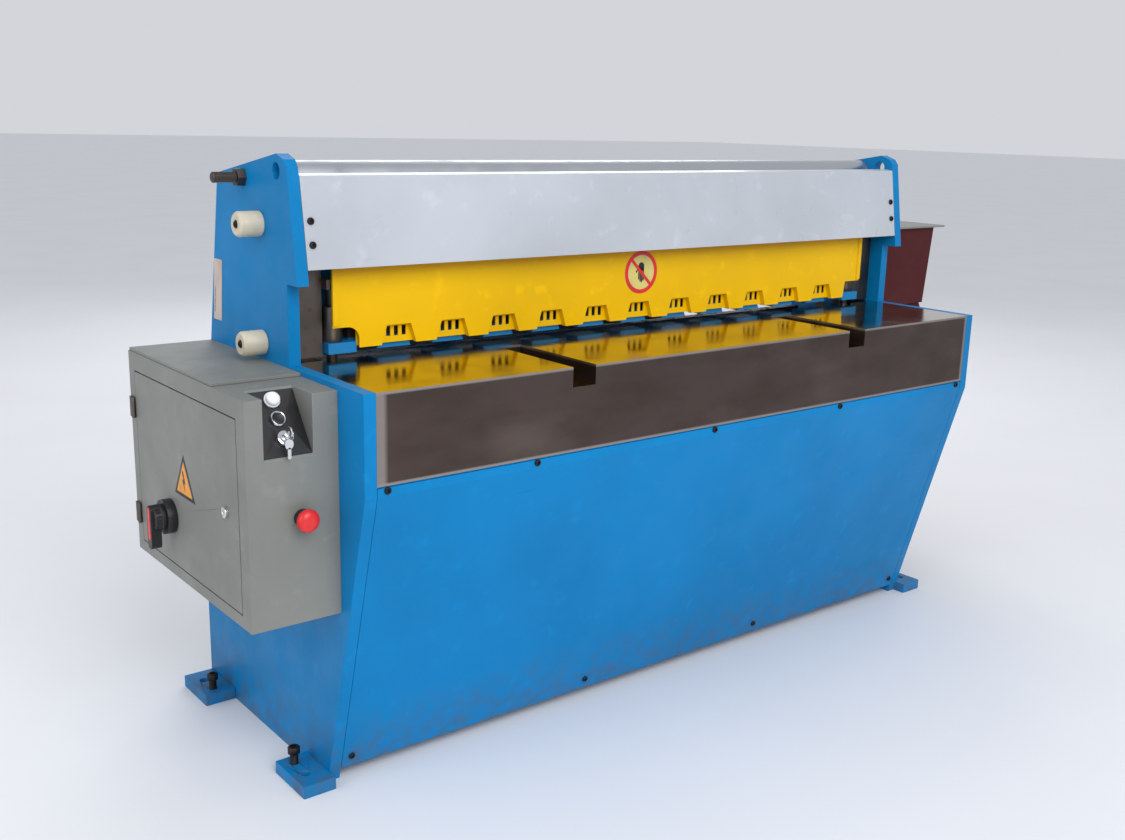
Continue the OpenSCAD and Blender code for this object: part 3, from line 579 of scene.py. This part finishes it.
def build_panel_devices(mats):
    turned("lamp", "signal_lamp", [
        (0, -20), (11, -20), (11, 2), (13.2, 2), (14, 2.8), (14, 5.4), (13.4, 6), (12.5, 6),
        (12.5, 9), (11.8, 12), (9.6, 14.2), (6, 14.9), (0, 15)], "lamp_lens", mats)
    turned("button_bezel", "button_ring", [
        (9.5, -19), (11, -24), (11, 2), (13.8, 2), (14.5, 2.8), (14.4, 6), (13, 8.4),
        (11.6, 9), (10, 8.2), (9.5, 6), (9.5, -19)], "chrome", mats)
    turned("button_cap", "push_button", [
        (0, -14), (9.4, -14), (9.4, 9), (8.9, 9.8), (8.2, 10), (6.5, 9.3), (0, 9)],
        "black_plastic", mats)
    turned("lock_barrel", "key_switch", [
        (5, -12), (11, -24), (11, 2), (13.4, 2), (14, 2.8), (13.8, 7), (12.6, 9.4), (11, 10),
        (7, 10), (5, 9.4), (5, -12)], "chrome", mats)


def build_estop(mats):
    low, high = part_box("estop_head")
    at = Vector(((low.x + high.x) / 2, high.y, (low.z + high.z) / 2))
    tip = (high.y - low.y) / MM
    turned("mushroom_head", "estop_head", [
        (0, 0), (6.9, 0), (6.9, tip - 20), (13, tip - 19), (18.6, tip - 17), (19.8, tip - 14.5),
        (20, tip - 11), (19.4, tip - 8), (17.6, tip - 5), (14.4, tip - 2.5), (9.6, tip - 0.7),
        (4, tip - 0.1), (0, tip)], "red_plastic", mats, at, -Y)


def bar(bm, at, along, across, normal, length, width, depth):
    """A flat bar with rounded ends, from the point at, length long in the direction along."""
    steps = 8
    outline = []
    for end, start in ((length - width / 2, -90), (width / 2, 90)):
        for i in range(steps + 1):
            a = math.radians(start + 180 * i / steps)
            reach = end + math.cos(a) * width / 2
            outline.append(at + along * reach + across * math.sin(a) * width / 2)
    prism(bm, outline, normal * depth)


def build_keys(mats):
    """The key in the switch, with a second one hanging from its ring."""
    at = PANEL_AT
    slope = PANEL_AXIS.cross(X).normalized()
    slope = slope if slope.z > 0 else -slope
    bm = bmesh.new()
    barrel = in_mm([(0, -10), (4.9, -10), (4.9, 8.6), (4.2, 9), (0, 9)])
    lathe(bm, at, PANEL_AXIS, barrel, 40)
    shank_at = at + PANEL_AXIS * 8 * MM - X * 1.2 * MM
    bar(bm, shank_at, PANEL_AXIS, slope, X, 20 * MM, 7.5 * MM, 2.4 * MM)
    bow = in_mm([(3, 0), (9.5, 0), (10, 0.5), (10, 2.1), (9.5, 2.6), (3, 2.6), (3, 0)])
    lathe(bm, at + PANEL_AXIS * 31 * MM - X * 1.3 * MM, X, bow, 40)
    ring_at = at + PANEL_AXIS * 33 * MM - slope * 5 * MM
    steps, ring_r, wire, joint_lap = 40, 9 * MM, 0.8 * MM, 1.04
    for i in range(steps):
        a0, a1 = (k * math.tau / steps for k in (i, i + 1))
        start, end = (ring_at + (PANEL_AXIS * math.cos(a) - slope * math.sin(a)) * ring_r
                      for a in (a0, a1))
        run = end - start
        lathe(bm, start, run, [(wire, 0), (wire, run.length * joint_lap)], 10)
    hang = ring_at - Z * 8 * MM - X * 4 * MM
    wide = PANEL_AXIS.cross(Z).normalized()
    thick = 1.8 * MM
    bar(bm, hang, -Z, wide, PANEL_AXIS, 17 * MM, 15 * MM, thick)
    bar(bm, hang - Z * 14 * MM, -Z, wide, PANEL_AXIS, 20 * MM, 6 * MM, thick)
    replace_node("keys", bm, "key", "chrome", mats)


def build_isolator(mats):
    """A ribbed knob with a grip across it and a red inlay along the grip."""
    low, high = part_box("isolator_handle")
    pos = Vector(JOINTS["isolator_turn"]["pos_m"])
    at = Vector((high.x, pos.y, pos.z))
    depth = (high.x - low.x) / MM
    rib_top = (depth - 8) * MM
    bm = bmesh.new()
    lathe(bm, at, -X, in_mm([(0, 0), (24, 0), (25, 1), (25, 6), (23, 8), (22, depth - 8),
                             (20, depth - 6), (0, depth - 6)]), 56)
    ribs, rib_r, rib_at = 18, 1.6 * MM, 22.4
    for i in range(ribs):
        a = i * math.tau / ribs
        spot = at + (Y * math.cos(a) + Z * math.sin(a)) * rib_at * MM
        lathe(bm, spot, -X, [(0, 8 * MM), (rib_r, 8 * MM), (rib_r, rib_top), (0, rib_top)], 8)
    grip_x = at.x - (depth - 20) * MM
    top = high.z - pos.z
    grip_len = top + pos.z - low.z
    grip_w, grip_h = 20 * MM, 19.4 * MM
    bar(bm, Vector((grip_x, pos.y, pos.z + top)), -Z, Y, -X, grip_len, grip_w, grip_h)
    replace_node("switch_knob", bm, "isolator_handle", "black_plastic", mats, bevel=1.2 * MM)
    inlay = bmesh.new()
    inlay_at = Vector((low.x + 1.2 * MM, pos.y, pos.z + top - 4 * MM))
    bar(inlay, inlay_at, -Z, Y, -X, grip_len * 0.74, 11 * MM, 1.2 * MM)
    add_piece("switch_inlay", to_mesh("switch_inlay", inlay), BODY_OF["isolator_handle"],
              mats["red_plastic"], bevel=0.4 * MM)


def build_door_lock(mats):
    """A quarter-turn lock: a slotted round head outside the door and a cam inside it."""
    low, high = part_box("door_lock")
    pos = Vector(JOINTS["lock_turn"]["pos_m"])
    at = Vector((low.x, pos.y, pos.z))
    bm = bmesh.new()
    lathe(bm, at, X, in_mm([(0, 2), (3.6, 2), (4, 0.4), (5.2, 0), (8.6, 0), (9.7, 0.8), (10, 2),
                            (10, 7), (8, 7), (8, 14.2), (0, 14.2)]), 48)
    cam_top, cam_w, cam_t = 8 * MM, 16 * MM, 3 * MM
    cam_at = Vector((high.x - cam_t, pos.y, pos.z + cam_top))
    bar(bm, cam_at, -Z, Y, X, cam_at.z - low.z, cam_w, cam_t)
    bar(bm, at + X * 0.9 * MM + Z * 3.4 * MM, -Z, Y, X, 6.8 * MM, 1.6 * MM, 1.6 * MM)
    replace_node("quarter_turn_lock", bm, "door_lock", "chrome", mats)


# ---------- signs, both generic ----------


def flat_shape(name, outline, depth, body, material, replaces=()):
    bm = bmesh.new()
    prism(bm, outline, depth)
    return add_piece(name, to_mesh(name, bm), body, material, replaces, smooth=False)


def build_guard_sign(mats):
    """A no-hands disc: red ring and bar over a plain hand."""
    low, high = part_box("safety_sign")
    centre = Vector(((low.x + high.x) / 2, low.y, (low.z + high.z) / 2))
    back = Vector((centre.x, high.y, centre.z))
    radius = (high.x - low.x) / 2
    body = BODY_OF["safety_sign"]
    layer = 0.12 * MM
    raised = 4 * layer
    face = high.y - low.y - raised
    disc = bmesh.new()
    lathe(disc, back, -Y, [(0, 0), (radius, 0), (radius, face), (0, face)], 72)
    add_piece("sign_disc", to_mesh("sign_disc", disc), body,
              mats["sign_yellow"], ["safety_sign"])
    hand = bmesh.new()
    palm = centre + Y * 3 * layer
    bar(hand, palm + Z * radius * 0.46, -Z, X, -Y, radius * 0.42, radius * 0.36, layer)
    for offset, reach in ((-0.135, 0.54), (-0.045, 0.64), (0.045, 0.68), (0.135, 0.60)):
        knuckle = palm + X * radius * offset + Z * radius * 0.2
        bar(hand, knuckle, -Z, X, -Y, radius * reach, radius * 0.075, layer)
    thumb = (-X - Z * 1.3).normalized()
    thumb_at = palm - X * radius * 0.1 + Z * radius * 0.28
    bar(hand, thumb_at, thumb, thumb.cross(Y), -Y, radius * 0.36, radius * 0.08, layer)
    add_piece("sign_hand", to_mesh("sign_hand", hand), body,
              mats["black_plastic"], smooth=False)
    ring = bmesh.new()
    inner, outer, front = radius * 0.80, radius * 0.99, face + raised
    lathe(ring, back, -Y, [(inner, face), (outer, face), (outer, front), (inner, front),
                           (inner, face)], 72)
    slant = (Z - X).normalized()
    slash_at = centre + Y * 1.6 * layer + slant * radius * 0.9
    bar(ring, slash_at, -slant, (Z + X).normalized(), -Y, radius * 1.8, radius * 0.15, layer)
    add_piece("sign_ring", to_mesh("sign_ring", ring), body,
              mats["red_plastic"], smooth=False)


def build_danger_sign(mats):
    """A black-edged orange triangle with a bolt."""
    low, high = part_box("danger_sign")
    middle = (low.y + high.y) / 2
    height = high.z - low.z
    corners = [Vector((high.x, y, z)) for y, z in (
        (middle, high.z), (high.y, low.z), (low.y, low.z))]
    body = BODY_OF["danger_sign"]
    depth = high.x - low.x
    black = mats["black_plastic"]
    flat_shape("danger_border", corners, -X * depth * 0.6, body, black,
               ["danger_sign"])
    centre = sum(corners, Vector()) / 3
    inner = [centre + (c - centre) * 0.76 - X * depth * 0.4 for c in corners]
    flat_shape("danger_face", inner, -X * depth * 0.4, body, mats["sign_orange"])
    bolt = [(0.04, 0.62), (-0.09, 0.33), (0.0, 0.35), (-0.05, 0.14), (0.11, 0.42),
            (0.02, 0.40), (0.10, 0.60)]
    bolt_x = low.x + depth * 0.3
    outline = [Vector((bolt_x, middle + y * height, low.z + z * height)) for y, z in bolt]
    flat_shape("danger_bolt", outline, -X * depth * 0.3, body, black)


def build_slot_shadow_sliver(mats):
    """Painted shade: a dark sliver across the blank plate at the side, for the shaded inside of a slot through the
    plate.
    """
    low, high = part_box("side_label")
    tall = high.z - low.z
    y0, y1 = low.y + 20 * MM, high.y - 4 * MM
    lean = (y1 - y0) * 0.30
    z0, z1 = low.z + tall * 0.12, low.z + tall * 0.55
    width, thick = 6 * MM, 0.2 * MM
    outline = [Vector((low.x + thick, y, z)) for y, z in (
        (y1 - lean - width, z1), (y1 - lean, z1), (y1, z0), (y1 - width, z0))]
    # black sliver: painted shade inside the slot
    flat_shape("slot_shadow_sliver", outline, -X * thick, BODY_OF["side_label"],
               mats["black_plastic"])


# ---------- rear and drive ----------


def build_lead_screw(mats):
    low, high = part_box("lead_screw")
    pos = Vector(JOINTS["lead_screw_turn"]["pos_m"])
    radius, collar_r = 12 * MM, 18 * MM
    pitch, depth = 5 * MM, 1.6 * MM
    collar_0, collar_1 = low.y + 20 * MM, low.y + 26 * MM
    plain, chamfer = 80 * MM, 2 * MM
    profile = [(0, low.y), (radius, low.y), (radius, collar_0), (collar_r, collar_0),
               (collar_r, collar_1)]
    profile += thread(collar_1 + chamfer, high.y - plain, radius, pitch, depth)
    profile += [(radius, high.y - plain + MM), (radius, high.y - chamfer),
                (radius - chamfer, high.y), (0, high.y)]
    bm = bmesh.new()
    lathe(bm, Vector((pos.x, 0, pos.z)), Y, profile, 32)
    replace_node("gauge_screw", bm, "lead_screw", "ground_steel", mats, SHARP_THREAD)


def finish_cad(mats):
    """Every CAD solid that still shows gets its finish and worn, slightly rounded edges."""
    usual_mm = 0.5
    widths_mm = {"table": 1.0, "door": 0.8, "cabinet": 1.2, "front_cover": 0.9,
                 "guard_lid": 1.0, "cabinet_lid": 1.2, "feet": 1.6, "left_frame": 1.5,
                 "right_frame": 1.5, "ram": 1.5}
    finishes = {"hold_down_beam": "pad_paint", "gauge_bar": "dull_steel"}
    for name, node in NODES.items():
        node.data.materials.clear()
        node.data.materials.append(mats[finishes.get(name, SLOT_OF[name])])
        if node.hide_render:
            continue
        weld = node.modifiers.new("weld", "WELD")
        weld.merge_threshold = 0.00001
        add_bevel(node, widths_mm.get(name, usual_mm) * MM)


def build_floor():
    mesh = bpy.data.meshes.new("floor")
    reach = 60
    corners = [(x * reach, y * reach, 0) for x, y in ((-1, -1), (1, -1), (1, 1), (-1, 1))]
    mesh.from_pydata(corners, [], [(0, 1, 2, 3)])
    floor = bpy.data.objects.new("floor", mesh)
    bpy.context.scene.collection.objects.link(floor)
    s = Shader("floor_grey", (0.80, 0.81, 0.83, 1), 0.75)
    s.tint(s.remap(s.noise(1.5, 4), 0.4, 0.7, 0, 0.5), (0.76, 0.77, 0.79, 1))
    mesh.materials.append(s.done())


def write_sizes():
    def plain(bounds):
        return [[float(c) for c in corner] for corner in bounds]


add_camera()
add_lights()
build_floor()
materials = build_materials()
build_screws(materials)
build_gib_caps(materials)
build_tie_rod(materials)
build_jack_screws(materials)
build_panel_devices(materials)
build_estop(materials)
build_keys(materials)
build_isolator(materials)
build_door_lock(materials)
build_guard_sign(materials)
build_danger_sign(materials)
build_slot_shadow_sliver(materials)
build_lead_screw(materials)
finish_cad(materials)
write_sizes()
